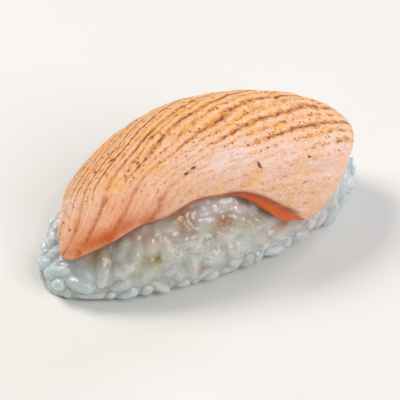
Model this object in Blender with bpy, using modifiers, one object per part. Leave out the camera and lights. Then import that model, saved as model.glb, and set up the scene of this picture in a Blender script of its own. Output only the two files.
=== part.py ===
"""Grilled salmon nigiri: a pressed loaf of rice under a seared slice of salmon.

Lengths are in millimetres and angles in degrees until a mesh is made. The loaf lies
along X, its front faces -Y and it rests on z = 0.
"""

import math

import bmesh
import bpy
import numpy as np
from mathutils import Vector
from mathutils.kdtree import KDTree

MM = 0.001
SHARP_ANGLE = math.radians(60)

# Rice loaf, measured to the outside of its grains
LOAF_LEFT = 33.0
LOAF_RIGHT = 33.2
LOAF_HALF_WIDTH = 16.0
LOAF_HEIGHT = 21.2
WAIST_HEIGHT = 4.3
LEFT_SAG = 1.0
SAG_POWER = 3
UNDERCUT = 1.0
PLAN_POWER_LEFT = 2.0
PLAN_POWER_RIGHT = 2.0
ARCH_POWER_LEFT = 1.45
ARCH_POWER_RIGHT = 2.0
SECTION_POWER = 2.55
NORMAL_STEP = (0.05, 0.2)
END_CLEARANCE = 0.995

# Rice core and the grains that stand out of it
CORE_DEPTH = 1.3
CORE_SEGMENTS = 30
CORE_RINGS = 18
GRAIN_LENGTH = 6.3
GRAIN_WIDTH = 2.9
GRAIN_SIDE = 1.55
GRAIN_FLATNESS = 0.94
GRAIN_BLUNTNESS = 0.8
GRAIN_SPREAD = 0.10
GRAIN_TILT = 0.22
GRAIN_SINK = 0.35
STICK_OUT = 0.3
LOWEST_GRAIN = 0.25

# How the grains are laid, whole ones first and then shorter ones between them
GRAIN_BALLS = 5
SKIN_PLACES = (120, 90)
GRAIN_SEED = 7
GRAIN_TRIES = 26000
WHOLE_SHARE = 0.6
SHORT_LENGTH = 0.72
WHOLE_SPACING = 0.70
SHORT_SPACING = 0.56
LOWEST_ANGLE = 125
END_REACH = 0.92
END_SHARE = 0.15
GRAIN_SIDES = 6
GRAIN_RINGS = 4

# Room between the slice and the rice
GAP = 0.4
GRAIN_CLEARANCE = 2.06

# Salmon slice, whose corners are places on the loaf: along X and round it from the top
FRONT_LEFT = (-29.4, -36.5)
FRONT_RIGHT = (13.6, -89.0)
BACK_LEFT = (-11.5, 90.0)
BACK_RIGHT = (28.0, 46.5)
EDGE_DROP_POWER = 4.5
LEFT_BOW = 4.3
LEFT_BOW_SKEW = 0.7
RIGHT_BOW = 9.5
RIGHT_BOW_POWER = 1.3
CORNER_ROUNDING = 0.08
CORNER_POWER = 4
EDGE_RIPPLE = 1.1
FLAP_DROP = 10.0
FLAP_PLACE = 0.857
FLAP_WIDTH = 0.108
RIPPLE_TURNS = (19, 31)

# Thickness of the slice, and how its border lifts over the grains it meets
SLICE_MIDDLE = 5.0
SLICE_LEFT = 2.6
SLICE_RIGHT = 5.5
SLICE_SIDE = 0.75
SLICE_RIM = 0.9
END_ROLL = 2.6
SIDE_ROLL = 5.5
CUT_BLUNTNESS = 1.7
CUT_PLACE = 0.8
CUT_WIDTH = 0.1
SWELL_LENGTHWISE = 0.9
SWELL_ACROSS = 0.6
TUCK_WIDTH = 5.0
TUCK_LIFT = 1.65
END_STRETCH = 0.3
SLICE_COLUMNS = 54
SLICE_ROWS = 34
BORDER_CROWDING = 0.8
UNDERSIDE_SHARE = 0.58

# Muscle lines of the salmon, which fan out to the right and droop at the front left; odd ones are grooves
LINE_SHIFT = 3.74
LINE_SLOPE = 0.117
LINE_BEND = 0.00143
LINE_SPACING = 2.87
LINE_FAN = 0.0236
DROOP = 0.42
DROOP_START = 18.2
DROOP_SOFTNESS = 4
GROOVE_DEPTH = 0.4
GROOVE_SHARPNESS = 4
GROOVE_FULL = 2.0
SECTION_RADIUS = 17.0
SLICE_LENGTH = 55.0
SLICE_WIDTH = 44.0


def signed_power(value, power):
    return np.sign(value) * np.abs(value) ** power


def reach(x, grow, power_left, power_right):
    """The share of its full width or height that the loaf has at x."""
    left = np.clip(1 - (np.abs(np.minimum(x, 0)) / (LOAF_LEFT + grow)) ** power_left, 0, None)
    right = np.clip(1 - (np.maximum(x, 0) / (LOAF_RIGHT + grow)) ** power_right, 0, None)
    return np.where(x < 0, left ** (1 / power_left), right ** (1 / power_right))


def loaf_point(x, angle, grow=0.0):
    """The place on the loaf at x, this many degrees round from its top."""
    width = (LOAF_HALF_WIDTH + grow) * reach(x, grow, PLAN_POWER_LEFT, PLAN_POWER_RIGHT)
    arch = (LOAF_HEIGHT - WAIST_HEIGHT + grow) * reach(x, grow, ARCH_POWER_LEFT, ARCH_POWER_RIGHT)
    waist = WAIST_HEIGHT - LEFT_SAG * (np.clip(-x, 0, LOAF_LEFT) / LOAF_LEFT) ** SAG_POWER
    turn = np.radians(angle)
    y = width * signed_power(np.sin(turn), 2 / SECTION_POWER)
    rise = signed_power(np.cos(turn), 2 / SECTION_POWER)
    z = waist + rise * np.where(rise >= 0, arch, waist + UNDERCUT)
    return np.stack([x + 0 * y, y, np.maximum(z, 0)], axis=-1)


def loaf_normal(x, angle, grow=0.0):
    """The direction straight out of the loaf there."""
    step_x, step_angle = NORMAL_STEP
    inside = END_CLEARANCE * np.where(x < 0, LOAF_LEFT + grow, LOAF_RIGHT + grow)
    x = np.clip(x, -inside + step_x, inside - step_x)
    along = loaf_point(x + step_x, angle, grow) - loaf_point(x - step_x, angle, grow)
    round_it = loaf_point(x, angle + step_angle, grow) - loaf_point(x, angle - step_angle, grow)
    normal = np.cross(along, round_it)
    return normal / np.linalg.norm(normal, axis=-1, keepdims=True)


def within_loaf(points, grow):
    """Whether points lie inside the loaf, grown by this much."""
    x = points[:, 0]
    width = (LOAF_HALF_WIDTH + grow) * reach(x, grow, PLAN_POWER_LEFT, PLAN_POWER_RIGHT)
    arch = (LOAF_HEIGHT - WAIST_HEIGHT + grow) * reach(x, grow, ARCH_POWER_LEFT, ARCH_POWER_RIGHT)
    waist = WAIST_HEIGHT - LEFT_SAG * (np.clip(-x, 0, LOAF_LEFT) / LOAF_LEFT) ** SAG_POWER
    rise = points[:, 2] - waist
    tall = np.where(rise >= 0, arch, waist + UNDERCUT)
    side = np.abs(points[:, 1]) / np.maximum(width, 1e-6)
    return side**SECTION_POWER + (np.abs(rise) / np.maximum(tall, 1e-6)) ** SECTION_POWER < 1


def slice_place(u, v):
    """The place on the loaf of u, from the slice's left to its right, and v, from its front to its back."""
    side, end = 2 * u - 1, 2 * v - 1
    pull = 1 - CORNER_ROUNDING * np.abs(side * end) ** CORNER_POWER
    u, v = 0.5 + 0.5 * side * pull, 0.5 + 0.5 * end * pull
    drop = u**EDGE_DROP_POWER
    front_x = FRONT_LEFT[0] + (FRONT_RIGHT[0] - FRONT_LEFT[0]) * u
    flap = FLAP_DROP * np.exp(-(((u - FLAP_PLACE) / FLAP_WIDTH) ** 2))
    front_angle = FRONT_LEFT[1] + (FRONT_RIGHT[1] - FRONT_LEFT[1]) * drop - flap
    rise = (1 - u) ** EDGE_DROP_POWER
    back_x = BACK_LEFT[0] + (BACK_RIGHT[0] - BACK_LEFT[0]) * u
    back_angle = BACK_RIGHT[1] + (BACK_LEFT[1] - BACK_RIGHT[1]) * rise
    slow, quick = RIPPLE_TURNS
    ripple = EDGE_RIPPLE * (np.sin(slow * u) + 0.6 * np.sin(quick * u + 2)) * end
    left_bow = LEFT_BOW * (1 - u) * np.sin(math.pi * v**LEFT_BOW_SKEW)
    right_bow = RIGHT_BOW * u * np.clip(np.sin(math.pi * v), 0, 1) ** RIGHT_BOW_POWER
    x = front_x * (1 - v) + back_x * v + right_bow - left_bow
    return x, front_angle * (1 - v) + back_angle * v + ripple


def muscle_lines(x, angle):
    """The number of the muscle line at each place, and how far apart the lines are there."""
    across = np.radians(angle) * SECTION_RADIUS
    past = -x - across - DROOP_START
    droop = 0.5 * DROOP * (past + np.sqrt(past**2 + DROOP_SOFTNESS))
    apart = LINE_SPACING * np.exp(LINE_FAN * x)
    return (across + droop + LINE_SHIFT - LINE_SLOPE * x - LINE_BEND * x**2) / apart, apart


def edge_distance(u, v):
    """Roughly how far a place is from the slice's ends and from its long sides."""
    return np.minimum(u, 1 - u) * SLICE_LENGTH, np.minimum(v, 1 - v) * SLICE_WIDTH


def rounded(distance, width):
    share = np.clip(distance / width, 0, 1)
    return np.sqrt(1 - (1 - share) ** 2)


def slice_point(u, v, outside):
    """A point of the slice's upper face where outside is 1, and of its underside where it is 0."""
    x, angle = slice_place(u, v)
    from_end, from_side = edge_distance(u, v)
    nearest = np.minimum(from_end, from_side)
    tuck = np.clip(1 - nearest / TUCK_WIDTH, 0, 1)
    under = TUCK_LIFT * tuck * tuck * (3 - 2 * tuck)
    lengthwise = SLICE_LEFT + (SLICE_RIGHT - SLICE_LEFT) * u
    lengthwise += (SLICE_MIDDLE - lengthwise) * (4 * u * (1 - u)) ** SWELL_LENGTHWISE
    body = lengthwise * (SLICE_SIDE + (1 - SLICE_SIDE) * (4 * v * (1 - v)) ** SWELL_ACROSS)
    roll = rounded(from_end, END_ROLL) * (1 - np.clip(1 - from_side / SIDE_ROLL, 0, 1) ** 2)
    blunt = CUT_BLUNTNESS * np.exp(-(((u - CUT_PLACE) / CUT_WIDTH) ** 2)) * (v < 0.5)
    border = TUCK_LIFT + SLICE_RIM + blunt
    line, apart = muscle_lines(x, angle)
    groove = np.sin(0.5 * math.pi * line) ** GROOVE_SHARPNESS * np.clip(apart / GROOVE_FULL, 0, 1)
    relief = GROOVE_DEPTH * groove * np.clip(nearest / SIDE_ROLL, 0, 1)
    top = border + (body - border) * roll - relief
    normal = loaf_normal(x, angle)
    normal = normal * np.array([END_STRETCH, 1, 1])
    normal /= np.linalg.norm(normal, axis=-1, keepdims=True)
    underneath = loaf_point(x, angle, GAP - CORE_DEPTH)
    return underneath + normal * (under + outside * (top - under))[..., None]


def clear_scene():
    for obj in list(bpy.data.objects):
        bpy.data.objects.remove(obj, do_unlink=True)


def new_collection(name, hidden=False):
    collection = bpy.data.collections.new(name)
    collection.hide_render = hidden
    bpy.context.scene.collection.children.link(collection)
    return collection


def move_to(obj, collection):
    for old in list(obj.users_collection):
        old.objects.unlink(obj)
    collection.objects.link(obj)


def read_points(mesh):
    points = np.empty(len(mesh.vertices) * 3)
    mesh.vertices.foreach_get("co", points)
    return points.reshape(-1, 3)


def write_points(mesh, points):
    mesh.vertices.foreach_set("co", np.ascontiguousarray(points).ravel())
    mesh.update()


def apply_modifier(obj, modifier):
    bpy.context.view_layer.objects.active = obj
    bpy.ops.object.modifier_apply(modifier=modifier.name)


def face_outwards(mesh):
    shape = bmesh.new()
    shape.from_mesh(mesh)
    bmesh.ops.recalc_face_normals(shape, faces=shape.faces)
    shape.to_mesh(mesh)
    shape.free()


def principled(name, colour, roughness):
    material = bpy.data.materials.new(name)
    material.use_nodes = True
    shader = material.node_tree.nodes["Principled BSDF"]
    shader.inputs["Base Color"].default_value = (*colour, 1)
    shader.inputs["Roughness"].default_value = roughness
    shader.inputs["Metallic"].default_value = 0
    return material


def rice_material():
    return principled("Cooked rice", (0.56, 0.55, 0.50), 0.35)


def salmon_material():
    return principled("Seared salmon", (0.79, 0.42, 0.22), 0.45)


def make_core(name, collection):
    """The pressed middle of the loaf, flat underneath."""
    bpy.ops.mesh.primitive_uv_sphere_add(
        segments=CORE_SEGMENTS, ring_count=CORE_RINGS, radius=1, rotation=(0, math.pi / 2, 0)
    )
    core = bpy.context.object
    bpy.ops.object.transform_apply(location=False, rotation=True, scale=False)
    core.name = name
    move_to(core, collection)
    unit = read_points(core.data)
    share = np.clip(unit[:, 0], -1, 1)
    length = np.where(share < 0, LOAF_LEFT, LOAF_RIGHT) - CORE_DEPTH
    angle = np.degrees(np.arctan2(unit[:, 1], unit[:, 2]))
    write_points(core.data, loaf_point(share * length, angle, -CORE_DEPTH) * MM)
    face_outwards(core.data)
    return core


def grain_spheres(centre, axis, half):
    """Places along a grain's middle, which stand for it where distances are measured."""
    steps = np.linspace(-1, 1, GRAIN_BALLS)[:, None] * (half - GRAIN_WIDTH / 2)
    return centre + steps * axis


def salmon_places():
    """Places all over the slice's skin, close enough together to keep grains clear of it."""
    u, v = np.meshgrid(*[np.linspace(0, 1, count) for count in SKIN_PLACES], indexing="ij")
    layers = [slice_point(u, v, outside) for outside in (0, 0.5, 1)]
    places = np.concatenate(layers).reshape(-1, 3)
    tree = KDTree(len(places))
    for index, place in enumerate(places):
        tree.insert(Vector(place), index)
    tree.balance()
    return tree


def lay_grains():
    """Centre, axis and half length of each grain."""
    draw = np.random.default_rng(GRAIN_SEED)
    salmon = salmon_places()
    taken = np.empty((0, 3))
    grains = []
    for attempt in range(GRAIN_TRIES):
        whole = attempt < WHOLE_SHARE * GRAIN_TRIES
        slant = 0.5 * math.pi * END_REACH * draw.uniform(-1, 1)
        x = np.array(math.sin(slant) * (LOAF_LEFT if slant < 0 else LOAF_RIGHT))
        angle = np.array(draw.uniform(-LOWEST_ANGLE, LOWEST_ANGLE))
        length = GRAIN_LENGTH * (1 if whole else SHORT_LENGTH)
        half = 0.5 * length * (1 + GRAIN_SPREAD * draw.standard_normal())
        turn = draw.uniform(0, math.pi)
        tilt = GRAIN_TILT * draw.standard_normal()
        depth = 0.5 * GRAIN_WIDTH + GRAIN_SINK * abs(draw.standard_normal())
        if draw.uniform() > math.cos(slant) + END_SHARE:
            continue
        normal = loaf_normal(x, angle)
        along = np.cross([0, 1, 0] if abs(normal[1]) < 0.9 else [0, 0, 1], normal)
        along /= np.linalg.norm(along)
        axis = math.cos(turn) * along + math.sin(turn) * np.cross(normal, along) + tilt * normal
        axis /= np.linalg.norm(axis)
        centre = loaf_point(x, angle) - depth * normal
        balls = grain_spheres(centre, axis, half)
        if not within_loaf(balls, STICK_OUT - GRAIN_WIDTH / 2).all():
            continue
        lift = LOWEST_GRAIN + GRAIN_WIDTH / 2 - balls[:, 2].min()
        if lift > 0:
            centre = centre + [0, 0, lift]
            balls = balls + [0, 0, lift]
        if len(taken):
            apart = np.linalg.norm(balls[:, None] - taken[None], axis=2).min()
            if apart < GRAIN_WIDTH * (WHOLE_SPACING if whole else SHORT_SPACING):
                continue
        if min(salmon.find(Vector(ball))[2] for ball in balls) < GRAIN_CLEARANCE:
            continue
        taken = np.concatenate([taken, balls])
        grains.append((centre, axis, half))
    return grains


def make_grain(centre, axis, half, collection):
    """One plump grain with blunt ends."""
    bpy.ops.mesh.primitive_uv_sphere_add(segments=GRAIN_SIDES, ring_count=GRAIN_RINGS, radius=1)
    grain = bpy.context.object
    move_to(grain, collection)
    unit = read_points(grain.data)
    across = unit[:, :2] * [GRAIN_SIDE, GRAIN_SIDE * GRAIN_FLATNESS]
    local = np.column_stack([across, signed_power(unit[:, 2], GRAIN_BLUNTNESS) * half])
    turn = Vector(axis).to_track_quat("Z", "Y").to_matrix()
    placed = local @ np.array(turn).T + centre
    write_points(grain.data, placed * MM)
    return grain


def keep_largest_shell(mesh):
    """Drops loose scraps and the inner skins of sealed hollows."""
    shape = bmesh.new()
    shape.from_mesh(mesh)
    left = set(shape.verts)
    shells = []
    while left:
        front = [left.pop()]
        shell = set(front)
        while front:
            for edge in front.pop().link_edges:
                for vert in edge.verts:
                    if vert in left:
                        left.remove(vert)
                        shell.add(vert)
                        front.append(vert)
        shells.append(shell)
    largest = max(shells, key=len)
    loose = [vert for shell in shells if shell is not largest for vert in shell]
    bmesh.ops.delete(shape, geom=loose, context="VERTS")
    bmesh.ops.triangulate(shape, faces=shape.faces)
    shape.to_mesh(mesh)
    shape.free()


def shade_round(mesh):
    mesh.shade_smooth()
    mesh.set_sharp_from_angle(angle=SHARP_ANGLE)


def make_rice(parts, helpers):
    rice = make_core("rice", parts)
    for centre, axis, half in lay_grains():
        make_grain(centre, axis, half, helpers)
    fuse = rice.modifiers.new("Fuse grains", "BOOLEAN")
    fuse.operation = "UNION"
    fuse.operand_type = "COLLECTION"
    fuse.collection = helpers
    fuse.solver = "EXACT"
    apply_modifier(rice, fuse)
    for grain in list(helpers.objects):
        bpy.data.objects.remove(grain, do_unlink=True)
    keep_largest_shell(rice.data)
    shade_round(rice.data)
    rice.data.materials.clear()
    rice.data.materials.append(rice_material())
    return rice


def make_salmon(parts):
    """A sheet given thickness and then laid over the loaf."""
    bpy.ops.mesh.primitive_grid_add(x_subdivisions=SLICE_COLUMNS, y_subdivisions=SLICE_ROWS, size=1)
    salmon = bpy.context.object
    salmon.name = "salmon"
    move_to(salmon, parts)
    thicken = salmon.modifiers.new("Two faces", "SOLIDIFY")
    thicken.thickness = 1
    thicken.offset = -1
    apply_modifier(salmon, thicken)
    flat = read_points(salmon.data)
    share = np.clip(flat[:, :2] + 0.5, 0, 1)
    cosine = np.cos(math.pi * share)
    u, v = (0.5 - 0.5 * signed_power(cosine, BORDER_CROWDING)).T
    outside = (flat[:, 2] > -0.5).astype(float)
    write_points(salmon.data, slice_point(u, v, outside) * MM)
    underside = salmon.vertex_groups.new(name="Underside")
    underside.add([int(index) for index in np.flatnonzero(outside == 0)], 1, "REPLACE")
    thin_out = salmon.modifiers.new("Fewer faces underneath", "DECIMATE")
    thin_out.ratio = UNDERSIDE_SHARE
    thin_out.vertex_group = underside.name
    apply_modifier(salmon, thin_out)
    face_outwards(salmon.data)
    shade_round(salmon.data)
    salmon.data.materials.append(salmon_material())
    return salmon


def main():
    clear_scene()
    parts = new_collection("Grilled salmon nigiri")
    helpers = new_collection("Grains to fuse", hidden=True)
    make_rice(parts, helpers)
    make_salmon(parts)
    bpy.data.collections.remove(helpers)


main()
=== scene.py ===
"""Grilled salmon nigiri, dressed: real rice grains over a sticky core, and a seared slice of salmon.

Lengths are in millimetres and angles in degrees until a mesh is made. The loaf lies
along X, its front faces -Y and it rests on z = 0.
"""

import math

import bpy
import numpy as np
from mathutils import Matrix, Vector, noise
from mathutils.kdtree import KDTree


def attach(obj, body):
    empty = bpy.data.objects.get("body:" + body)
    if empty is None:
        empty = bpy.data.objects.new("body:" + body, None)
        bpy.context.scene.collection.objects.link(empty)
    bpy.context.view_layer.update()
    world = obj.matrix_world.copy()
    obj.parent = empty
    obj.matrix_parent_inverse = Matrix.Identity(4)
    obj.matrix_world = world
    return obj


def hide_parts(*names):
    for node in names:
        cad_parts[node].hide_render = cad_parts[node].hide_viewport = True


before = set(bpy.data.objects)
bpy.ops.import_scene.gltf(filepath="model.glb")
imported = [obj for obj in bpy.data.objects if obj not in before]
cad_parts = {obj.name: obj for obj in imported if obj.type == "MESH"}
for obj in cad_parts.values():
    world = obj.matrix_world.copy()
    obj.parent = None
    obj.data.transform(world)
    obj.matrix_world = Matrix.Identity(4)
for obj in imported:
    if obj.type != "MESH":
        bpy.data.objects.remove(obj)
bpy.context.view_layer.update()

MM = 0.001

# How far apart in the noise two neighbouring seeds are
NOISE_SHIFT = (1, 2.7, -1.3)

# The photograph's view: where the camera stands, and how large a millimetre is there
PHOTO_WIDTH = 400
CAMERA_AZIMUTH = -31.0
CAMERA_ELEVATION = 38.0
CAMERA_DISTANCE = 420.0
PIXELS_PER_MM = 5.4
AIM_UP = 6.2
AIM_RIGHT = 0.19
SENSOR_WIDTH = 36.0

# Rice loaf, measured to the outside of its grains
LOAF_LEFT = 33.0
LOAF_RIGHT = 33.2
LOAF_HALF_WIDTH = 16.0
LOAF_HEIGHT = 21.2
WAIST_HEIGHT = 4.3
LEFT_SAG = 1.0
SAG_POWER = 3
UNDERCUT = 1.0
PLAN_POWER_LEFT = 2.0
PLAN_POWER_RIGHT = 2.0
ARCH_POWER_LEFT = 1.45
ARCH_POWER_RIGHT = 2.0
SECTION_POWER = 2.55

# Steps and limits by which the loaf's direction and depth at a place are worked out
NORMAL_STEP = (0.05, 0.2)
END_CLEARANCE = 0.995
DEPTH_RANGE = (-8.0, 3.0)
DEPTH_STEPS = 12
TINY = 1e-6

# Cooked grains, laid as the solid's are
CORE_DEPTH = 1.3
GRAIN_LENGTH = 6.3
GRAIN_WIDTH = 2.9
GRAIN_SIDE = 1.55
GRAIN_FLATNESS = 0.94
GRAIN_BLUNTNESS = 0.8
GRAIN_SPREAD = 0.10
GRAIN_TILT = 0.22
GRAIN_SINK = 0.35
STICK_OUT = 0.3
LOWEST_GRAIN = 0.25
GRAIN_BALLS = 5
SKIN_PLACES = (120, 90)
GRAIN_SEED = 7
LOWEST_ANGLE = 125
END_REACH = 0.92
END_SHARE = 0.15
NEARLY_ALONG_Y = 0.9
GAP = 0.4

# Salmon slice, whose corners are places on the loaf: along X and round it from the top
FRONT_LEFT = (-29.4, -36.5)
FRONT_RIGHT = (13.6, -89.0)
BACK_LEFT = (-11.5, 90.0)
BACK_RIGHT = (28.0, 46.5)
EDGE_DROP_POWER = 4.5
LEFT_BOW = 4.3
LEFT_BOW_SKEW = 0.7
RIGHT_BOW = 9.5
RIGHT_BOW_POWER = 1.3
CORNER_ROUNDING = 0.08
CORNER_POWER = 4
EDGE_RIPPLE = 1.1
RIPPLE_TURNS = (19, 31)
RIPPLE_QUICK_SHARE = 0.6
RIPPLE_SHIFT = 2
FLAP_DROP = 10.0
FLAP_PLACE = 0.857
FLAP_WIDTH = 0.108
SLICE_MIDDLE = 5.0
SLICE_LEFT = 2.6
SLICE_RIGHT = 5.5
SLICE_SIDE = 0.75
SLICE_RIM = 0.9
END_ROLL = 2.6
SIDE_ROLL = 5.5
CUT_BLUNTNESS = 1.7
CUT_PLACE = 0.8
CUT_WIDTH = 0.1
SWELL_LENGTHWISE = 0.9
SWELL_ACROSS = 0.6
TUCK_WIDTH = 5.0
TUCK_LIFT = 1.65
END_STRETCH = 0.3
BORDER_CROWDING = 0.8
SLICE_LENGTH = 55.0
SLICE_WIDTH = 44.0
SECTION_RADIUS = 17.0

# Whole, short and small grains: tries, share of a whole one's length, spacing, sink and clearance
GRAIN_KINDS = [(15600, 1, 0.70, 0, 2.06), (10400, 0.72, 0.56, 0, 2.06), (9000, 0.62, 0.42, 0.35, 1.45)]
KIND_WIDTH = (1.0, 1.0, 0.92)
SMALL_KIND = 2
GRAIN_SIDES = 10
GRAIN_RINGS = 7
GRAIN_VARIETY = 0.05
GRAIN_BEND = 0.18
BEND_BALANCE = 0.4
GRAIN_TAPER = 0.07
GRAIN_DENT = 0.035

# The core, and the starch that joins the grains to it
CORE_SEGMENTS = 96
CORE_RINGS = 64
STARCH_SHRINK = 0.12
STARCH_COVER = 0.32
STARCH_SHARE = 0.75
STARCH_VARIETY = 0.9
STARCH_PATCH = 6.0
COVERED_HEIGHTS = (2.5, 7.5)
COVERED_LENGTHS = (22.0, 36.0)
STARCH_VOXEL = 0.38
STARCH_MELT = 6
MELT_STRENGTH = 0.5

# Colours of the rice by place. A spot is its middle along X, its height, its two radii and its strength.
SHADE_PATCH = 3.0
# Depths over which painted shade comes into the hollows between grains
GAP_DEPTHS = (0.6, 2.2)
# Strength and reach of a painted warm glow from the salmon on the rice close to it
SALMON_GLOW = 0.2
SALMON_GLOW_REACH = (1.5, 6.5)
# Painted cool light: where the ends and the foot turn bluish, and how strongly
COOL_ENDS = (19.0, 32.0)
COOL_FOOT = (2.0, 6.5)
COOLEST = 0.8
COOLEST_FOOT = 0.55
YELLOW_SPOTS = [
    (-16.9, 9.6, 2.2, 1.3, 0.95), (-24.2, 9.4, 1.8, 1.2, 0.7),
    (1.8, 11.6, 3.2, 1.1, 0.6), (-20.7, 7.6, 1.5, 0.9, 0.5),
]
STAIN_SPOTS = [
    (-9.9, 15.8, 2.8, 2.8, 1.0), (-3.4, 13.4, 3.0, 1.4, 0.9), (-5.0, 11.6, 2.2, 1.0, 0.6),
    (9.8, 9.0, 3.4, 1.6, 1.0), (2.0, 15.8, 3.0, 1.0, 0.5), (-16.0, 12.9, 5.0, 1.5, 0.5),
    (-7.9, 5.0, 1.2, 0.8, 0.7),
]
LILAC_SPOTS = [
    (-6.4, 15.6, 2.4, 1.6, 0.7), (-1.0, 15.2, 4.0, 1.2, 0.5),
    (17.5, 4.6, 4.0, 3.0, 0.6), (9.0, 6.5, 3.0, 1.0, 0.4),
]

# Muscle lines of the salmon, which fan out to the right and droop at the front left, and the length on
# the UV map of a millimetre beside them
LINE_SHIFT = 3.74
LINE_SLOPE = 0.117
LINE_BEND = 0.00143
LINE_SPACING = 2.87
LINE_FAN = 0.0236
DROOP = 0.42
DROOP_START = 18.2
DROOP_SOFTNESS = 4
DEEP_GROOVE = 0.24
SHALLOW_GROOVE = 0.12
GROOVE_SHARPNESS = 8
GROOVE_FULL = 2.0
LINE_WANDER = 0.13
LINE_WANDER_SIZE = 6.0
LINE_SEED = 9
FIBRE_UNIT = 0.01

# Low relief of the slice's upper face, and how finely its mesh is divided
CRAG_DEPTH = 0.16
CRAG_SIZE = 3.5
EDGE_CRAGS = 0.2
BLISTER_DEPTH = 0.09
BLISTER_SIZE = 0.9
BLISTER_SEED = 5
NOTCHES = [(18.2, 5.6, 0.8, 3.5, 0.8), (25.9, 4.0, 0.8, 3.5, 1.0)]
SLICE_COLUMNS = 250
SLICE_ROWS = 185

# Where the flame and the knife were: along X, and across the slice from its top. A patch or mark is
# its middle, its two radii and its strength.
TORCH_EDGE = -4.2
TORCH_SLANT = -0.24
TORCH_SOFTNESS = 4.5
TORCH_RAGGEDNESS = 2.5
TORCH_LAP = 5.0
TORCH_BACK = (13.0, 21.0)
CUT_FACE = 2.1
CUT_START = (0.6, 0.82)
CUT_END = (0.84, 1.03)
CUT_BLUR = 0.2
# A line of painted shade along the fold where the top meets the cut face, and along the front edge further
# left
CREASE_START = (0.3, 0.45)
CREASE_END = (0.84, 0.98)
CREASE_WIDTH = 0.5
FURROW_WIDTH = 0.36
FURROW_WANDER = 0.5
FURROW_WANDER_SIZE = 1.8
FURROW_SEED = 3
FURROW_LEFT = (-8.0, -15.0)
UNDERSIDE_ORANGE = 0.5
PALE_PATCHES = [
    (1, -7, 6, 3, 1.0), (10, -9, 6, 3, 0.6), (23, -10.5, 4, 3, 0.9), (17, -14.5, 5, 3, 0.5),
    (-24.5, 5.5, 3, 3.5, 0.9), (12, -3, 6, 2, 0.5), (-3, -3.5, 3, 1.5, 0.8),
    (6, -12.5, 2.5, 1.2, 0.6), (-6.5, -1.0, 2.2, 1.0, 0.6), (3.5, 1.6, 2.5, 0.9, 0.5),
    (11.5, 1.2, 3, 1, 0.5),
]
ORANGE_PATCHES = [(-26.5, -6.5, 4.5, 4.5, 1.0), (-19.5, -5.5, 4.5, 3.5, 0.55), (-14, -9, 6, 2, 0.3)]
GOLD_PATCHES = [
    (-17.5, -0.8, 2.2, 1.6, 0.9), (3.4, -12.3, 1.8, 1.0, 0.75), (12.8, -13.6, 2.2, 1.0, 0.4),
    (-3, -11, 1.5, 1.0, 0.6), (26, -1.5, 4, 2.5, 0.8), (1, 4.5, 9, 2.5, 0.8), (-10.5, -2.7, 2.5, 1.3, 0.6),
]
RAW_PATCHES = [
    (-22.8, -9.4, 3.2, 1.8, 1.0), (-25.0, -8.9, 2.2, 1.7, 0.85), (-26.6, -7.5, 2.0, 1.6, 0.4),
    (-20.0, -9.4, 3.0, 1.4, 0.8), (-16.5, -10.0, 3.0, 0.9, 0.6),
]
CHAR_MARKS = [
    (5.1, -10.1, 0.35, 0.9, 0.9), (15.3, -11.5, 0.4, 0.35, 0.9), (18.9, -9.5, 0.25, 0.45, 0.9),
    (-5.7, -6.3, 0.6, 0.3, 0.9), (-7.2, -6.6, 0.6, 0.3, 0.9), (-8.0, 1.8, 1.2, 0.25, 0.8),
    (-15.1, 3.3, 0.9, 0.3, 0.8), (-15.4, -1.0, 0.35, 0.35, 0.8), (-12.5, -0.4, 0.35, 0.3, 0.8),
    (2.6, -11.9, 0.7, 0.25, 0.6), (4.4, -13.2, 0.3, 0.3, 0.6),
]
MISSED_PATCHES = [(-25.5, 5, 2.5, 3.5, 0.8), (1, -7, 5, 2.5, 0.6)]

# Widths of the lumps in the materials' patterns, and how high the relief in them is
RICE_LUMPS = (5.0, 2.2, 0.6)
RICE_RELIEF = 0.2
DROP_WIDTH = 1.2
DROP_HEIGHT = 0.5
SALMON_LUMPS = (5.0, 2.0, 0.8, 0.4)
SALMON_RELIEF = 0.3
FIBRE_LENGTHS_AND_WIDTHS = ((3.5, 0.7), (1.3, 0.6), (2.2, 0.35))
SPECK_SPACING = 0.85
FLOOR_LUMPS = 40.0

# A Mix node's sockets that take and give colours
MIX_UNDER = 6
MIX_OVER = 7
MIX_RESULT = 2

# Colours as sRGB hex
RICE_MILKY = "b6b4a8"
RICE_WHITE = "d6d6d1"
RICE_CLEAR = "aab4ac"
RICE_COOL_LIGHT = "bccfd6"
RICE_GAP_SHADE = "a28c5c"
RICE_YELLOW = "9a8c34"
RICE_GLOW_AND_STAIN = "a4620a"
RICE_LILAC = "d6cad4"
FLESH_PEACH = "f2b584"
FLESH_PINK = "f2bd9c"
FLESH_PALE = "f1d8d0"
FLESH_LIGHT = "f8dcc0"
FLESH_ORANGE = "e6935a"
FLESH_LINE = "e09252"
FLESH_FURROW = "bc5c22"
FLESH_RAW = "d25800"
PAINTED_CREASE_SHADE = "9c3e08"
SEAR_GOLD = "f9b652"
SEAR_BROWN = "86380a"
SEAR_AMBER = "d88226"
SEAR_CHAR = "7a360c"

# Studio: floor and sky, and the place, size, power and colour of each soft box
FLOOR_SIZE = 6000
FLOOR_SHADE = "e6e4e0"
FLOOR_LIGHT = "ebe9e6"
SKY = "f2f4f8"
SKY_STRENGTH = 0.3
SOFT_BOXES = {
    "Key": ((-240, 330, 540), 300, 2.85, "fff8f0"),
    "Front": ((150, -560, 400), 400, 2.3, "ffffff"),
    "Side": ((560, 160, 160), 220, 1.5, "f0f4ff"),
    "Spark": ((-60, -430, 520), 40, 0.5, "ffffff"),
    "Rim": ((-220, 620, 130), 160, 0.6, "ffffff"),
}


def signed_power(value, power):
    return np.sign(value) * np.abs(value) ** power


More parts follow.
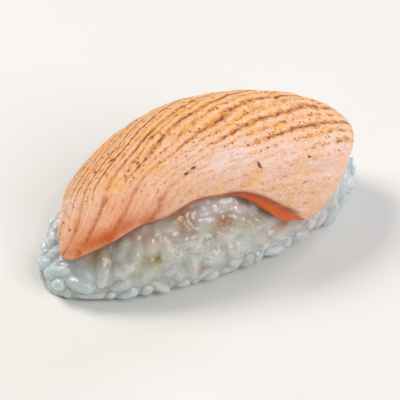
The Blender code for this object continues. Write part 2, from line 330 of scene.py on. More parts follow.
def reach(x, grow, power_left, power_right):
    """The share of its full width or height that the loaf has at x."""
    left = np.clip(1 - (np.abs(np.minimum(x, 0)) / (LOAF_LEFT + grow)) ** power_left, 0, None)
    right = np.clip(1 - (np.maximum(x, 0) / (LOAF_RIGHT + grow)) ** power_right, 0, None)
    return np.where(x < 0, left ** (1 / power_left), right ** (1 / power_right))


def loaf_section(x, grow):
    """Half the loaf's width at x, the height of its arch, and how high its widest place is."""
    width = (LOAF_HALF_WIDTH + grow) * reach(x, grow, PLAN_POWER_LEFT, PLAN_POWER_RIGHT)
    arch = (LOAF_HEIGHT - WAIST_HEIGHT + grow) * reach(x, grow, ARCH_POWER_LEFT, ARCH_POWER_RIGHT)
    waist = WAIST_HEIGHT - LEFT_SAG * (np.clip(-x, 0, LOAF_LEFT) / LOAF_LEFT) ** SAG_POWER
    return width, arch, waist


def loaf_point(x, angle, grow=0.0):
    """The place on the loaf at x, this many degrees round from its top."""
    width, arch, waist = loaf_section(x, grow)
    turn = np.radians(angle)
    y = width * signed_power(np.sin(turn), 2 / SECTION_POWER)
    rise = signed_power(np.cos(turn), 2 / SECTION_POWER)
    z = waist + rise * np.where(rise >= 0, arch, waist + UNDERCUT)
    return np.stack(np.broadcast_arrays(x, y, np.maximum(z, 0)), axis=-1)


def loaf_normal(x, angle, grow=0.0):
    """The direction straight out of the loaf there."""
    step_x, step_angle = NORMAL_STEP
    inside = END_CLEARANCE * np.where(x < 0, LOAF_LEFT + grow, LOAF_RIGHT + grow)
    x = np.clip(x, -inside + step_x, inside - step_x)
    along = loaf_point(x + step_x, angle, grow) - loaf_point(x - step_x, angle, grow)
    round_it = loaf_point(x, angle + step_angle, grow) - loaf_point(x, angle - step_angle, grow)
    normal = np.cross(along, round_it)
    return normal / np.linalg.norm(normal, axis=-1, keepdims=True)


def within_loaf(points, grow):
    """Whether points lie inside the loaf, grown by this much."""
    x, y, z = points.T
    width, arch, waist = loaf_section(x, grow)
    rise = z - waist
    tall = np.where(rise >= 0, arch, waist + UNDERCUT)
    side = np.abs(y) / np.maximum(width, TINY)
    return side**SECTION_POWER + (np.abs(rise) / np.maximum(tall, TINY)) ** SECTION_POWER < 1


def loaf_depth(points):
    """Roughly how far points lie under the outside of the loaf."""
    low, high = [np.full(len(points), limit) for limit in DEPTH_RANGE]
    for _ in range(DEPTH_STEPS):
        middle = 0.5 * (low + high)
        inside = within_loaf(points, middle)
        high = np.where(inside, middle, high)
        low = np.where(inside, low, middle)
    return -high


def slice_place(u, v):
    """The place on the loaf of u, from the slice's left to its right, and v, from its front to its back."""
    side, end = 2 * u - 1, 2 * v - 1
    pull = 1 - CORNER_ROUNDING * np.abs(side * end) ** CORNER_POWER
    u, v = 0.5 + 0.5 * side * pull, 0.5 + 0.5 * end * pull
    drop = u**EDGE_DROP_POWER
    front_x = FRONT_LEFT[0] + (FRONT_RIGHT[0] - FRONT_LEFT[0]) * u
    flap = FLAP_DROP * np.exp(-(((u - FLAP_PLACE) / FLAP_WIDTH) ** 2))
    front_angle = FRONT_LEFT[1] + (FRONT_RIGHT[1] - FRONT_LEFT[1]) * drop - flap
    rise = (1 - u) ** EDGE_DROP_POWER
    back_x = BACK_LEFT[0] + (BACK_RIGHT[0] - BACK_LEFT[0]) * u
    back_angle = BACK_RIGHT[1] + (BACK_LEFT[1] - BACK_RIGHT[1]) * rise
    slow, quick = RIPPLE_TURNS
    ripple = EDGE_RIPPLE * (np.sin(slow * u) + RIPPLE_QUICK_SHARE * np.sin(quick * u + RIPPLE_SHIFT)) * end
    left_bow = LEFT_BOW * (1 - u) * np.sin(math.pi * v**LEFT_BOW_SKEW)
    right_bow = RIGHT_BOW * u * np.clip(np.sin(math.pi * v), 0, 1) ** RIGHT_BOW_POWER
    x = front_x * (1 - v) + back_x * v + right_bow - left_bow
    return x, front_angle * (1 - v) + back_angle * v + ripple


def edge_distance(u, v):
    """Roughly how far a place is from the slice's ends and from its long sides."""
    return np.minimum(u, 1 - u) * SLICE_LENGTH, np.minimum(v, 1 - v) * SLICE_WIDTH


def rounded(distance, width):
    share = np.clip(distance / width, 0, 1)
    return np.sqrt(1 - (1 - share) ** 2)


def smooth_step(low, high, value):
    share = np.clip((value - low) / (high - low), 0, 1)
    return share * share * (3 - 2 * share)


def swelling(share, power):
    """Nothing at both ends of a stretch and 1 in its middle."""
    return (4 * share * (1 - share)) ** power


def blobs(x, across, places):
    """The strongest of several soft patches, each given by its middle, its two radii and its strength."""
    total = np.zeros(x.shape)
    for middle_x, middle_across, long, wide, strength in places:
        away = ((x - middle_x) / long) ** 2 + ((across - middle_across) / wide) ** 2
        total = np.maximum(total, strength * np.exp(-away))
    return total


def round_loaf(angle):
    """Roughly how many millimetres round the loaf a place is from its top."""
    return np.radians(angle) * SECTION_RADIUS


def muscle_lines(x, angle):
    """The number of the muscle line at each place, and how far apart the lines are there."""
    across = round_loaf(angle)
    past = -x - across - DROOP_START
    droop = 0.5 * DROOP * (past + np.sqrt(past**2 + DROOP_SOFTNESS))
    apart = LINE_SPACING * np.exp(LINE_FAN * x)
    return (across + droop + LINE_SHIFT - LINE_SLOPE * x - LINE_BEND * x**2) / apart, apart


def slice_point(u, v, outside):
    """A point of the slice's upper face where outside is 1, and of its underside where it is 0."""
    x, angle = slice_place(u, v)
    from_end, from_side = edge_distance(u, v)
    nearest = np.minimum(from_end, from_side)
    under = TUCK_LIFT * smooth_step(TUCK_WIDTH, 0, nearest)
    lengthwise = SLICE_LEFT + (SLICE_RIGHT - SLICE_LEFT) * u
    lengthwise += (SLICE_MIDDLE - lengthwise) * swelling(u, SWELL_LENGTHWISE)
    body = lengthwise * (SLICE_SIDE + (1 - SLICE_SIDE) * swelling(v, SWELL_ACROSS))
    roll = rounded(from_end, END_ROLL) * (1 - np.clip(1 - from_side / SIDE_ROLL, 0, 1) ** 2)
    blunt = CUT_BLUNTNESS * np.exp(-(((u - CUT_PLACE) / CUT_WIDTH) ** 2)) * (v < 0.5)
    border = TUCK_LIFT + SLICE_RIM + blunt
    line, apart = muscle_lines(x, angle)
    deep = DEEP_GROOVE * np.sin(0.5 * math.pi * line) ** GROOVE_SHARPNESS
    shallow = SHALLOW_GROOVE * np.cos(0.5 * math.pi * line) ** GROOVE_SHARPNESS
    relief = (deep + shallow) * np.clip(apart / GROOVE_FULL, 0, 1) * np.clip(nearest / SIDE_ROLL, 0, 1)
    top = border + (body - border) * roll - relief
    normal = loaf_normal(x, angle) * [END_STRETCH, 1, 1]
    normal /= np.linalg.norm(normal, axis=-1, keepdims=True)
    underneath = loaf_point(x, angle, GAP - CORE_DEPTH)
    return underneath + normal * (under + outside * (top - under))[..., None]


def deselect_all():
    bpy.ops.object.select_all(action="DESELECT")


def read_points(mesh):
    points = np.empty(len(mesh.vertices) * 3)
    mesh.vertices.foreach_get("co", points)
    return points.reshape(-1, 3)


def write_points(mesh, points):
    mesh.vertices.foreach_set("co", np.ascontiguousarray(points).ravel())
    mesh.update()


def paint(mesh, name, values):
    """Keeps one number for each point of the mesh, for a material to read."""
    layer = mesh.attributes.new(name, "FLOAT", "POINT")
    layer.data.foreach_set("value", np.ascontiguousarray(values, dtype=np.float32))


def apply_modifier(obj, modifier):
    bpy.context.view_layer.objects.active = obj
    bpy.ops.object.modifier_apply(modifier=modifier.name)


def select_only(obj):
    deselect_all()
    obj.select_set(True)
    bpy.context.view_layer.objects.active = obj


def face_outwards(obj):
    select_only(obj)
    bpy.ops.object.mode_set(mode="EDIT")
    bpy.ops.mesh.select_all(action="SELECT")
    bpy.ops.mesh.normals_make_consistent(inside=False)
    bpy.ops.object.mode_set(mode="OBJECT")


def speckle(points, size, seed=0):
    """Soft noise from about -1 to 1, whose lumps are this many millimetres wide."""
    shift = Vector([step * seed for step in NOISE_SHIFT])
    return np.array([noise.noise(Vector(point) / size + shift) for point in points])


def linear(colour):
    """A linear colour from sRGB hex."""
    parts = [int(colour[place : place + 2], 16) / 255 for place in (0, 2, 4)]
    return (*[part / 12.92 if part <= 0.04045 else ((part + 0.055) / 1.055) ** 2.4 for part in parts], 1)


def lump_scale(width):
    """The noise scale that gives lumps this many millimetres wide."""
    return 1 / (width * MM)


def new_material(name):
    """An empty material and its node tree."""
    material = bpy.data.materials.new(name)
    material.use_nodes = True
    material.node_tree.nodes.clear()
    return material, material.node_tree


def add(tree, kind, inputs=None, **settings):
    """Adds a node with its settings, and gives its inputs values or links to other nodes."""
    made = tree.nodes.new("ShaderNode" + kind)
    for name, value in settings.items():
        setattr(made, name, value)
    for name, value in (inputs or {}).items():
        if isinstance(value, bpy.types.Node):
            value = value.outputs[0]
        if isinstance(value, bpy.types.NodeSocket):
            tree.links.new(value, made.inputs[name])
        else:
            made.inputs[name].default_value = value
    return made


def rice_material():
    """Cooked short-grain rice: milky, see-through to a millimetre or so, under a wet film of starch.

    The grains differ a little in whiteness, the hollows between them are darkened by painted
    shade tinted yellowish, the ends and the foot are tinted bluish by painted cool light, a few
    places are lilac, a painted warm glow from the salmon tints the rice close to it, and salmon
    juice has stained a few places below the slice. The wet film glints in small drops.
    """
    material, tree = new_material("Cooked short-grain rice")
    place = add(tree, "TexCoord").outputs["Object"]
    grain, depth, cool_light, lilac, yellow, salmon = [
        add(tree, "Attribute", attribute_name=name).outputs["Fac"]
        for name in ("Grain", "Depth", "Cool light", "Lilac", "Yellow", "Near salmon")
    ]
    cloud, film, starch = [
        add(tree, "TexNoise", {"Vector": place, "Scale": lump_scale(width), "Detail": 3.0})
        for width in RICE_LUMPS
    ]
    patchy = add(tree, "MapRange", {"Value": cloud, "From Min": 0.48, "From Max": 0.66, "To Max": 0.7})
    thick = add(tree, "MapRange", {"Value": film, "From Min": 0.42, "From Max": 0.62, "To Min": 0.3})
    # Painted shade in the hollows between grains, tinted yellowish
    hollow_shade = add(tree, "Math", {0: depth, 1: thick}, operation="MULTIPLY")
    # A painted warm glow from the salmon, together with the stains below it, patchy and weaker where the
    # painted cool light is
    blotchy = add(tree, "MapRange", {"Value": cloud, "From Min": 0.56, "From Max": 0.44, "To Min": 0.7})
    clear = add(tree, "Math", {0: cool_light, 1: -0.7, 2: 1.0}, operation="MULTIPLY_ADD")
    spread = add(tree, "Math", {0: salmon, 1: blotchy}, operation="MULTIPLY")
    glow_and_stain = add(tree, "Math", {0: spread, 1: clear}, operation="MULTIPLY")
    spotty = add(tree, "MapRange", {"Value": film, "From Min": 0.35, "From Max": 0.55, "To Min": 0.5})
    germ = add(tree, "Math", {0: yellow, 1: spotty}, operation="MULTIPLY")
    colour = linear(RICE_MILKY)
    for share, tint in (
        (grain, RICE_WHITE), (patchy, RICE_CLEAR), (cool_light, RICE_COOL_LIGHT), (lilac, RICE_LILAC),
        (germ, RICE_YELLOW), (hollow_shade, RICE_GAP_SHADE), (glow_and_stain, RICE_GLOW_AND_STAIN),
    ):
        mixed = {0: share, MIX_UNDER: colour, MIX_OVER: linear(tint)}
        colour = add(tree, "Mix", mixed, data_type="RGBA").outputs[MIX_RESULT]

    # Relief of the grains' skin, and the wet film over it, which stands in drops
    height = add(tree, "Math", {0: film, 1: 1.6, 2: starch}, operation="MULTIPLY_ADD")
    relief = add(tree, "Bump", {"Strength": 0.7, "Distance": RICE_RELIEF * MM, "Height": height})
    drops = add(tree, "TexNoise", {"Vector": place, "Scale": lump_scale(DROP_WIDTH), "Detail": 0.6})
    beads = add(tree, "Bump", {"Strength": 1.0, "Distance": DROP_HEIGHT * MM, "Height": drops})
    wet = add(tree, "MapRange", {
        "Value": starch, "From Min": 0.3, "From Max": 0.7, "To Min": 0.2, "To Max": 0.4,
    })
    surface = add(tree, "BsdfPrincipled", {
        "Base Color": colour,
        "Roughness": wet,
        "Normal": relief,
        "IOR": 1.38,
        "Subsurface Weight": 0.9,
        "Subsurface Radius": (1.0, 0.95, 0.85),
        "Subsurface Scale": 0.9 * MM,
        "Coat Weight": 1.0,
        "Coat Roughness": 0.06,
        "Coat Normal": beads,
    })
    add(tree, "OutputMaterial", {"Surface": surface})
    return material


def salmon_material():
    """Seared salmon: moist opaque flesh in bands, browned and blistered along the fat between them.

    The torch leaves gold round the lines, broken brown dashes on them and small charred
    specks, and the flesh it missed stays orange or pale and a little see-through.
    """
    material, tree = new_material("Torch-seared salmon")
    place = add(tree, "TexCoord").outputs["Object"]
    fibres = add(tree, "UVMap", uv_map="Fibres")
    line, torch, gold, pale, orange, furrow, raw, crease_shade, mark = [
        add(tree, "Attribute", attribute_name=name).outputs["Fac"]
        for name in ("Line", "Torch", "Gold", "Pale", "Orange", "Furrow", "Raw", "Crease shade", "Mark")
    ]
    broad, middle, fine, crumb = [
        add(tree, "TexNoise", {
            "Vector": place, "Scale": lump_scale(width), "Detail": 4.0, "Roughness": 0.6,
        })
        for width in SALMON_LUMPS
    ]
    streaks, dashes, strands = [
        add(tree, "TexNoise", {
            "Vector": add(tree, "Mapping", {"Vector": fibres, "Scale": (1 / long, 1 / wide, 1)}),
            "Scale": 1 / FIBRE_UNIT,
            "Detail": 3.0,
            "Roughness": 0.65,
        })
        for long, wide in FIBRE_LENGTHS_AND_WIDTHS
    ]

    # Rows of brown dashes with amber borders on the lines of fat, and weaker rows halfway between
    nearest = add(tree, "Math", {0: line, 1: 0.25}, operation="PINGPONG")
    close = add(tree, "MapRange", {"Value": nearest, "From Min": 0.24, "From Max": 0.04})
    main_line = add(tree, "Math", {0: line, 1: 0.5}, operation="PINGPONG")
    strength = add(tree, "MapRange", {
        "Value": main_line, "From Min": 0.2, "From Max": 0.3, "To Min": 1.0, "To Max": 0.45,
    })
    scorched = add(tree, "MapRange", {"Value": torch, "From Min": 0.1, "From Max": 0.7, "To Max": strength})
    beside = add(tree, "MapRange", {"Value": close, "To Min": 0.3, "To Max": 0.0})
    weak = add(tree, "MapRange", {"Value": scorched, "To Min": 0.22, "To Max": 0.0})
    kept_off = add(tree, "Math", {0: beside, 1: weak}, operation="ADD")
    grit = add(tree, "Math", {0: dashes, 1: kept_off}, operation="SUBTRACT")
    amber = add(tree, "MapRange", {"Value": grit, "From Min": 0.28, "From Max": 0.45, "To Max": 0.9})
    loose = add(tree, "MapRange", {"Value": nearest, "From Min": 0.02, "From Max": 0.12, "To Max": 0.14})
    tight = add(tree, "Math", {0: grit, 1: loose}, operation="SUBTRACT")
    brown = add(tree, "MapRange", {"Value": tight, "From Min": 0.47, "From Max": 0.54, "To Max": 0.95})

    # Small blisters that the flame charred, mostly near the lines
    cells = add(tree, "TexVoronoi", {"Vector": place, "Scale": lump_scale(SPECK_SPACING)})
    dice = add(tree, "SeparateColor", {"Color": cells.outputs["Color"]})
    near = add(tree, "Math", {0: close, 1: 0.5, 2: 0.34}, operation="MULTIPLY_ADD")
    flame = add(tree, "MapRange", {"Value": torch, "From Min": 0.05, "From Max": 0.6})
    likely = add(tree, "Math", {0: near, 1: flame}, operation="MULTIPLY")
    spare = add(tree, "Math", {0: likely, 1: dice.outputs["Red"]}, operation="SUBTRACT")
    kept = add(tree, "MapRange", {"Value": spare, "From Max": 0.05})
    radius = add(tree, "Math", {0: dice.outputs["Green"], 1: 0.16, 2: 0.01}, operation="MULTIPLY_ADD")
    ragged = add(tree, "Math", {0: crumb, 1: 0.9, 2: cells.outputs["Distance"]}, operation="MULTIPLY_ADD")
    outside = add(tree, "Math", {0: ragged, 1: radius}, operation="SUBTRACT")
    inside = add(tree, "MapRange", {"Value": outside, "From Min": 0.61, "From Max": 0.44, "To Max": 0.9})
    dots = add(tree, "Math", {0: inside, 1: kept}, operation="MULTIPLY")
    border = add(tree, "MapRange", {"Value": outside, "From Min": 0.8, "From Max": 0.54, "To Max": 0.6})
    ring = add(tree, "Math", {0: border, 1: kept}, operation="MULTIPLY")
    torn = add(tree, "Math", {0: crumb, 1: 1.4, 2: mark}, operation="MULTIPLY_ADD")
    patch = add(tree, "MapRange", {"Value": torn, "From Min": 1.05, "From Max": 1.3, "To Max": 0.95})
    charred = add(tree, "Math", {0: dots, 1: patch}, operation="MAXIMUM")

    # Colours laid over each other, from the bare flesh up to the char, with painted shade along the front
    # fold among them
    pinkish = add(tree, "MapRange", {"Value": broad, "From Min": 0.35, "From Max": 0.65})
    soft_line = add(tree, "Math", {0: close, 1: 0.3}, operation="MULTIPLY")
    streaky = add(tree, "MapRange", {"Value": streaks, "From Min": 0.4, "From Max": 0.56, "To Min": 0.15})
    light = add(tree, "Math", {0: pale, 1: 0.22}, operation="ADD")
    milky = add(tree, "Math", {0: light, 1: streaky}, operation="MULTIPLY")
    grainy = add(tree, "MapRange", {"Value": crumb, "From Min": 0.46, "From Max": 0.6, "To Max": 0.6})
    sinewy = add(tree, "MapRange", {"Value": strands, "From Min": 0.52, "From Max": 0.4, "To Max": 0.5})
    mottle = add(tree, "MapRange", {"Value": middle, "From Min": 0.38, "From Max": 0.62, "To Max": 0.85})
    warm = add(tree, "Math", {0: close, 1: 0.5, 2: mottle}, operation="MULTIPLY_ADD")
    touched = add(tree, "Math", {0: warm, 1: torch}, operation="MULTIPLY")
    toasted = add(tree, "Math", {0: touched, 1: gold}, operation="MAXIMUM")
    uneven = add(tree, "MapRange", {"Value": crumb, "From Min": 0.6, "From Max": 0.4, "To Min": 0.45})
    glow = add(tree, "Math", {0: toasted, 1: uneven}, operation="MULTIPLY")
    patchy = add(tree, "MapRange", {"Value": middle, "From Min": 0.38, "From Max": 0.54, "To Min": 0.35})
    scored = add(tree, "Math", {0: furrow, 1: patchy}, operation="MULTIPLY")
    colour = linear(FLESH_PEACH)
    for share, tint in (
        (pinkish, FLESH_PINK), (soft_line, FLESH_LINE), (sinewy, FLESH_LINE), (grainy, FLESH_LIGHT),
        (milky, FLESH_PALE), (orange, FLESH_ORANGE), (scored, FLESH_FURROW), (raw, FLESH_RAW),
        (crease_shade, PAINTED_CREASE_SHADE), (glow, SEAR_GOLD), (amber, SEAR_AMBER), (ring, SEAR_AMBER),
        (brown, SEAR_BROWN), (charred, SEAR_CHAR),
    ):
        mixed = {0: share, MIX_UNDER: colour, MIX_OVER: linear(tint)}
        colour = add(tree, "Mix", mixed, data_type="RGBA").outputs[MIX_RESULT]

    # Relief of the crust, whose dashes are sunk and whose blisters stand up, and how moist it is
    soft = add(tree, "Math", {0: fine, 1: 0.8, 2: middle}, operation="MULTIPLY_ADD")
    fibrous = add(tree, "Math", {0: strands, 1: 0.7, 2: soft}, operation="MULTIPLY_ADD")
    crumbly = add(tree, "Math", {0: crumb, 1: 0.5, 2: fibrous}, operation="MULTIPLY_ADD")
    sunk = add(tree, "Math", {0: brown, 1: -0.4, 2: crumbly}, operation="MULTIPLY_ADD")
    height = add(tree, "Math", {0: charred, 1: 0.3, 2: sunk}, operation="MULTIPLY_ADD")
    relief = add(tree, "Bump", {"Strength": 1.0, "Distance": SALMON_RELIEF * MM, "Height": height})
    moist = add(tree, "MapRange", {
        "Value": fine, "From Min": 0.3, "From Max": 0.7, "To Min": 0.36, "To Max": 0.56,
    })
    surface = add(tree, "BsdfPrincipled", {
        "Base Color": colour,
        "Roughness": add(tree, "Math", {0: charred, 1: 0.25, 2: moist}, operation="MULTIPLY_ADD"),
        "Normal": relief,
        "IOR": 1.42,
        "Subsurface Weight": 0.25,
        "Subsurface Radius": (1.0, 0.45, 0.25),
        "Subsurface Scale": 1.0 * MM,
        "Coat Weight": 0.16,
        "Coat Roughness": 0.12,
        "Coat Normal": relief,
        "Sheen Weight": 0.05,
    })
    add(tree, "OutputMaterial", {"Surface": surface})
    return material


def floor_material():
    """Smooth pale laminate: even, matt and almost white."""
    material, tree = new_material("Pale laminate")
    place = add(tree, "TexCoord").outputs["Object"]
    cloud = add(tree, "TexNoise", {"Vector": place, "Scale": lump_scale(FLOOR_LUMPS), "Detail": 2.0})
    mixed = {0: cloud, MIX_UNDER: linear(FLOOR_SHADE), MIX_OVER: linear(FLOOR_LIGHT)}
    surface = add(tree, "BsdfPrincipled", {
        "Base Color": add(tree, "Mix", mixed, data_type="RGBA").outputs[MIX_RESULT],
        "Roughness": add(tree, "MapRange", {"Value": cloud, "To Min": 0.5, "To Max": 0.6}),
    })
    add(tree, "OutputMaterial", {"Surface": surface})
    return material


def slice_skin():
    """Places all over the slice's skin, close enough together to keep grains clear of it."""
    u, v = np.meshgrid(*[np.linspace(0, 1, count) for count in SKIN_PLACES], indexing="ij")
    layers = [slice_point(u, v, outside) for outside in (0, 0.5, 1)]
    places = np.concatenate(layers).reshape(-1, 3)
    tree = KDTree(len(places))
    for index, place in enumerate(places):
        tree.insert(Vector(place), index)
    tree.balance()
    return tree


def lay_grains(skin):
    """Centre, axis, half length and kind of each grain, whole ones first and small ones last."""
    draw = np.random.default_rng(GRAIN_SEED)
    radius = GRAIN_WIDTH / 2
    taken = np.empty((0, 3))
    grains = []
    for kind, (tries, share, spacing, sink, clearance) in enumerate(GRAIN_KINDS):
        for _ in range(tries):
            slant = 0.5 * math.pi * END_REACH * draw.uniform(-1, 1)
            x = np.array(math.sin(slant) * (LOAF_LEFT if slant < 0 else LOAF_RIGHT))
            angle = np.array(draw.uniform(-LOWEST_ANGLE, LOWEST_ANGLE))
            half = 0.5 * GRAIN_LENGTH * share * (1 + GRAIN_SPREAD * draw.standard_normal())
            turn = draw.uniform(0, math.pi)
            tilt = GRAIN_TILT * draw.standard_normal()
            depth = radius + GRAIN_SINK * abs(draw.standard_normal()) + sink
            if draw.uniform() > math.cos(slant) + END_SHARE:
                continue
            normal = loaf_normal(x, angle)
            along = np.cross([0, 1, 0] if abs(normal[1]) < NEARLY_ALONG_Y else [0, 0, 1], normal)
            along /= np.linalg.norm(along)
            axis = math.cos(turn) * along + math.sin(turn) * np.cross(normal, along) + tilt * normal
            axis /= np.linalg.norm(axis)
            centre = loaf_point(x, angle) - depth * normal
            steps = np.linspace(-1, 1, GRAIN_BALLS)[:, None] * (half - radius)
            balls = centre + steps * axis
            if not within_loaf(balls, STICK_OUT - radius).all():
                continue
            lift = LOWEST_GRAIN + radius - balls[:, 2].min()
            if lift > 0:
                centre = centre + [0, 0, lift]
                balls = balls + [0, 0, lift]
            if len(taken):
                apart = np.linalg.norm(balls[:, None] - taken[None], axis=2).min()
                if apart < GRAIN_WIDTH * spacing:
                    continue
            if min(skin.find(Vector(ball))[2] for ball in balls) < clearance:
                continue
            taken = np.concatenate([taken, balls])
            grains.append((centre, axis, half, kind))
    return grains


def grain_shape():
    """A plump unit grain along Z, with blunt ends and few faces."""
    deselect_all()
    bpy.ops.mesh.primitive_uv_sphere_add(segments=GRAIN_SIDES, ring_count=GRAIN_RINGS, radius=1)
    grain = bpy.context.object
    unit = read_points(grain.data)
    faces = [tuple(face.vertices) for face in grain.data.polygons]
    bpy.data.objects.remove(grain, do_unlink=True)
    unit[:, 2] = signed_power(unit[:, 2], GRAIN_BLUNTNESS)
    return unit, faces


def join_grains(name, grains, swell):
    """All grains as one mesh, each one bent, flattened, dented and swollen in its own way."""
    unit, faces = grain_shape()
    draw = np.random.default_rng(GRAIN_SEED + 1)
    points, joined, shades = [], [], []
    for (centre, axis, half, kind), more in zip(grains, swell):
        bend, pinch, thick = draw.normal(0, 1, 3)
        side = GRAIN_SIDE * (1 + GRAIN_VARIETY * thick) * KIND_WIDTH[kind] + more
        local = unit * [side, side * GRAIN_FLATNESS, half + more]
        local[:, 0] += GRAIN_BEND * bend * (unit[:, 2] ** 2 - BEND_BALANCE)
        local[:, :2] *= 1 + GRAIN_TAPER * pinch * unit[:, 2:3]
        local += GRAIN_DENT * draw.normal(0, 1, local.shape)
        turn = np.array(Vector(axis).to_track_quat("Z", "Y").to_matrix())
        spun = draw.uniform(0, math.pi) if kind == SMALL_KIND else 0
        spin = np.array(Matrix.Rotation(spun, 3, "Z"))
        start = len(points) * len(unit)
        points.append(local @ (turn @ spin).T + centre)
        joined.extend([tuple(start + corner for corner in face) for face in faces])
        shades.append(np.full(len(unit), draw.uniform()))
    mesh = bpy.data.meshes.new(name)
    mesh.from_pydata((np.concatenate(points) * MM).tolist(), [], joined)
    mesh.shade_smooth()
    obj = bpy.data.objects.new(name, mesh)
    bpy.context.scene.collection.objects.link(obj)
    paint(mesh, "Grain", np.concatenate(shades))
    return obj


def paint_rice(obj, skin):
    """How deep each point lies, how much painted warm glow from the salmon and stain it carries, where
    painted cool light makes it bluish, and where it is lilac or yellow.
    """
    mesh = obj.data
    points = read_points(mesh) / MM
    x, y, z = points.T
    front = y < 0
    near = np.array([skin.find(Vector(point))[2] for point in points])
    # A painted warm glow from the salmon, fading away from the slice; the stains below the slice are added
    # to it on the front
    glow_and_stain = SALMON_GLOW * (1 - smooth_step(*SALMON_GLOW_REACH, near))
    ends = smooth_step(*COOL_ENDS, np.abs(x))
    foot = 1 - smooth_step(*COOL_FOOT, z)
    # Depth sets where painted shade fills the hollows between grains
    paint(mesh, "Depth", smooth_step(*GAP_DEPTHS, np.maximum(loaf_depth(points), 0)))
    paint(mesh, "Near salmon", np.maximum(blobs(x, z, STAIN_SPOTS) * front, glow_and_stain))
    paint(mesh, "Lilac", blobs(x, z, LILAC_SPOTS) * front)
    # Painted cool light, bluish towards the ends and the foot
    paint(mesh, "Cool light", np.maximum(COOLEST * ends, COOLEST_FOOT * foot))
    paint(mesh, "Yellow", blobs(x, z, YELLOW_SPOTS) * front)


def starch_cover(grains):
    """How much starch swells each grain: most in the middle of the sides, least at the foot and the ends."""
    centres = np.array([centre for centre, *_ in grains])
    high = smooth_step(*COVERED_HEIGHTS, centres[:, 2])
    inner = 1 - smooth_step(*COVERED_LENGTHS, np.abs(centres[:, 0]))
    uneven = np.clip(STARCH_SHARE + STARCH_VARIETY * speckle(centres, STARCH_PATCH), 0, 1)
    return STARCH_COVER * high * inner * uneven - STARCH_SHRINK


def make_core(grains, skin):
    """The pressed middle of the loaf and the starch between its grains, fused to one shell and smoothed."""
    deselect_all()
    bpy.ops.mesh.primitive_uv_sphere_add(
        segments=CORE_SEGMENTS, ring_count=CORE_RINGS, radius=1, rotation=(0, math.pi / 2, 0)
    )
    core = bpy.context.object
    core.name = "rice_core"
    bpy.ops.object.transform_apply(location=False, rotation=True, scale=False)
    unit = read_points(core.data)
    share = np.clip(unit[:, 0], -1, 1)
    length = np.where(share < 0, LOAF_LEFT, LOAF_RIGHT) - CORE_DEPTH
    angle = np.degrees(np.arctan2(unit[:, 1], unit[:, 2]))
    write_points(core.data, loaf_point(share * length, angle, -CORE_DEPTH) * MM)
    sunk = join_grains("sunk_grains", grains, starch_cover(grains))
    face_outwards(core)
    select_only(core)
    sunk.select_set(True)
    bpy.ops.object.join()
    fuse = core.modifiers.new("Fuse", "REMESH")
    fuse.mode = "VOXEL"
    fuse.voxel_size = STARCH_VOXEL * MM
    apply_modifier(core, fuse)
    melt = core.modifiers.new("Melt", "SMOOTH")
    melt.factor = MELT_STRENGTH
    melt.iterations = STARCH_MELT
    apply_modifier(core, melt)
    points = read_points(core.data)
    points[:, 2] = np.maximum(points[:, 2], 0)
    write_points(core.data, points)
    core.data.shade_smooth()
    paint(core.data, "Grain", 0.5 + 0.5 * speckle(points / MM, SHADE_PATCH))
    paint_rice(core, skin)
    return core


def torch_mask(points, x, across):
    """How much of the torch's flame a place got; the flame's border is uneven."""
    ragged = TORCH_RAGGEDNESS * speckle(points, TORCH_LAP)
    front = smooth_step(-TORCH_SOFTNESS, TORCH_SOFTNESS, across - TORCH_EDGE - TORCH_SLANT * x + ragged)
    return front * (1 - smooth_step(*TORCH_BACK, across + ragged))


def make_slice():
    """A sheet given thickness, laid over the loaf, with its bands and crags pressed in."""
    deselect_all()
    bpy.ops.mesh.primitive_grid_add(x_subdivisions=SLICE_COLUMNS, y_subdivisions=SLICE_ROWS, size=1)
    salmon = bpy.context.object
    salmon.name = "salmon_slice"
    for layer in list(salmon.data.uv_layers):
        salmon.data.uv_layers.remove(layer)
    thicken = salmon.modifiers.new("Two faces", "SOLIDIFY")
    thicken.thickness = 1
    thicken.offset = -1
    apply_modifier(salmon, thicken)
    flat = read_points(salmon.data)
    share = np.clip(flat[:, :2] + 0.5, 0, 1)
    u, v = (0.5 - 0.5 * signed_power(np.cos(math.pi * share), BORDER_CROWDING)).T
    outside = (flat[:, 2] > -0.5).astype(float)
    points = slice_point(u, v, outside)
    x, angle = slice_place(u, v)
    nearest = np.minimum(*edge_distance(u, v))
    crags = CRAG_DEPTH * speckle(points, CRAG_SIZE)
    crags += BLISTER_DEPTH * speckle(points, BLISTER_SIZE, BLISTER_SEED)
    relief = crags * np.clip(nearest / END_ROLL, EDGE_CRAGS, 1) - blobs(x, round_loaf(angle), NOTCHES)
    points += loaf_normal(x, angle) * (outside * relief)[:, None]
    write_points(salmon.data, points * MM)
    face_outwards(salmon)
    salmon.data.shade_smooth()
    paint_salmon(salmon.data, points, u, v, outside)
    return salmon


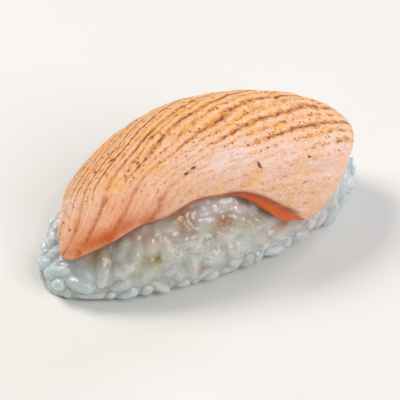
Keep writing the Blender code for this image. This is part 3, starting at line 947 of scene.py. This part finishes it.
def paint_salmon(mesh, points, u, v, outside):
    """Where the muscle lines and the flame were, where the flesh is pale, orange, cut or charred, and where
    painted shade darkens the fold along its front.
    """
    x, angle = slice_place(u, v)
    across = round_loaf(angle)
    line, apart = muscle_lines(x, angle)
    line += LINE_WANDER * speckle(points, LINE_WANDER_SIZE, LINE_SEED)
    torch = torch_mask(points, x, across) * (1 - blobs(x, across, MISSED_PATCHES))
    from_front = v * SLICE_WIDTH
    face = CUT_FACE * smooth_step(*CUT_START, u) * (1 - smooth_step(*CUT_END, u))
    cut = 1 - smooth_step(face - CUT_BLUR, face + CUT_BLUR, from_front + CUT_BLUR)
    # Painted shade along the fold at the top of the cut face, and along the front edge further left
    fold = np.exp(-(((from_front - face) / CREASE_WIDTH) ** 2)) * (1 - smooth_step(*CREASE_END, u))
    from_odd_line = np.abs((line % 2) - 1) * apart
    from_odd_line += FURROW_WANDER * speckle(points, FURROW_WANDER_SIZE, FURROW_SEED)
    furrow = np.exp(-((from_odd_line / FURROW_WIDTH) ** 2)) * smooth_step(*FURROW_LEFT, x) * (1 - torch)
    underside = UNDERSIDE_ORANGE * (1 - outside)
    paint(mesh, "Line", line)
    paint(mesh, "Torch", torch * outside)
    paint(mesh, "Gold", blobs(x, across, GOLD_PATCHES) * outside)
    paint(mesh, "Pale", blobs(x, across, PALE_PATCHES))
    paint(mesh, "Orange", np.maximum(blobs(x, across, ORANGE_PATCHES), underside))
    paint(mesh, "Raw", np.maximum(cut, blobs(x, across, RAW_PATCHES)))
    paint(mesh, "Furrow", furrow * outside)
    paint(mesh, "Crease shade", fold * smooth_step(*CREASE_START, u) * outside)
    paint(mesh, "Mark", blobs(x, across, CHAR_MARKS) * outside)
    shortened = (1 - np.exp(-LINE_FAN * np.minimum(x, 0))) / LINE_FAN
    write_fibres(mesh, shortened + np.maximum(x, 0), line * LINE_SPACING)


def write_fibres(mesh, along, beside):
    """A UV map that runs along the muscle lines, on which dashes shorten as the lines close up."""
    layer = mesh.uv_layers.new(name="Fibres")
    corners = np.empty(len(mesh.loops), dtype=np.int32)
    mesh.loops.foreach_get("vertex_index", corners)
    pair = np.column_stack([along, beside])[corners] * FIBRE_UNIT
    layer.data.foreach_set("uv", pair.astype(np.float32).ravel())


def make_camera():
    """A long lens at the photograph's angle, aimed a little above the middle of the loaf's underside."""
    turn, rise = math.radians(CAMERA_AZIMUTH), math.radians(CAMERA_ELEVATION)
    back = Vector((math.sin(turn) * math.cos(rise), -math.cos(turn) * math.cos(rise), math.sin(rise)))
    right = Vector((math.cos(turn), math.sin(turn), 0))
    up = back.cross(right)
    data = bpy.data.cameras.new("Camera")
    data.sensor_width = SENSOR_WIDTH
    data.lens = SENSOR_WIDTH * PIXELS_PER_MM * CAMERA_DISTANCE / PHOTO_WIDTH
    camera = bpy.data.objects.new("Camera", data)
    bpy.context.scene.collection.objects.link(camera)
    camera.location = (back * CAMERA_DISTANCE + up * AIM_UP + right * AIM_RIGHT) * MM
    camera.rotation_euler = Matrix((right, up, back)).transposed().to_euler()
    bpy.context.scene.camera = camera


def make_light(name, place, size, power, colour):
    """A soft box that faces the food."""
    data = bpy.data.lights.new(name, "AREA")
    data.size = size * MM
    data.energy = power
    data.color = linear(colour)[:3]
    light = bpy.data.objects.new(name, data)
    bpy.context.scene.collection.objects.link(light)
    light.location = Vector(place) * MM
    light.rotation_euler = (-light.location).to_track_quat("-Z", "Y").to_euler()


def make_studio():
    """A pale floor, plain soft light from all sides and soft boxes round the food."""
    deselect_all()
    bpy.ops.mesh.primitive_plane_add(size=FLOOR_SIZE * MM)
    floor = bpy.context.object
    floor.name = "floor"
    floor.data.materials.append(floor_material())
    world = bpy.data.worlds.new("Studio")
    world.use_nodes = True
    sky = world.node_tree.nodes["Background"]
    sky.inputs["Color"].default_value = linear(SKY)
    sky.inputs["Strength"].default_value = SKY_STRENGTH
    bpy.context.scene.world = world
    # This view transform shows a colour as its hex value gives it
    bpy.context.scene.view_settings.view_transform = "Standard"
    for name, (place, size, power, colour) in SOFT_BOXES.items():
        make_light(name, place, size, power, colour)


def hand_over(piece, node, material):
    """The piece takes the material given, rides with the root body and stands in for the node, which is
    hidden.
    """
    piece.data.materials.clear()
    piece.data.materials.append(material)
    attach(piece, "root")
    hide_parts(node)


def main():
    make_camera()
    make_studio()
    skin = slice_skin()
    grains = lay_grains(skin)
    rice = rice_material()
    loose = join_grains("rice_grains", grains, np.zeros(len(grains)))
    paint_rice(loose, skin)
    hand_over(make_core(grains, skin), "rice", rice)
    hand_over(loose, "rice", rice)
    hand_over(make_slice(), "salmon", salmon_material())


main()
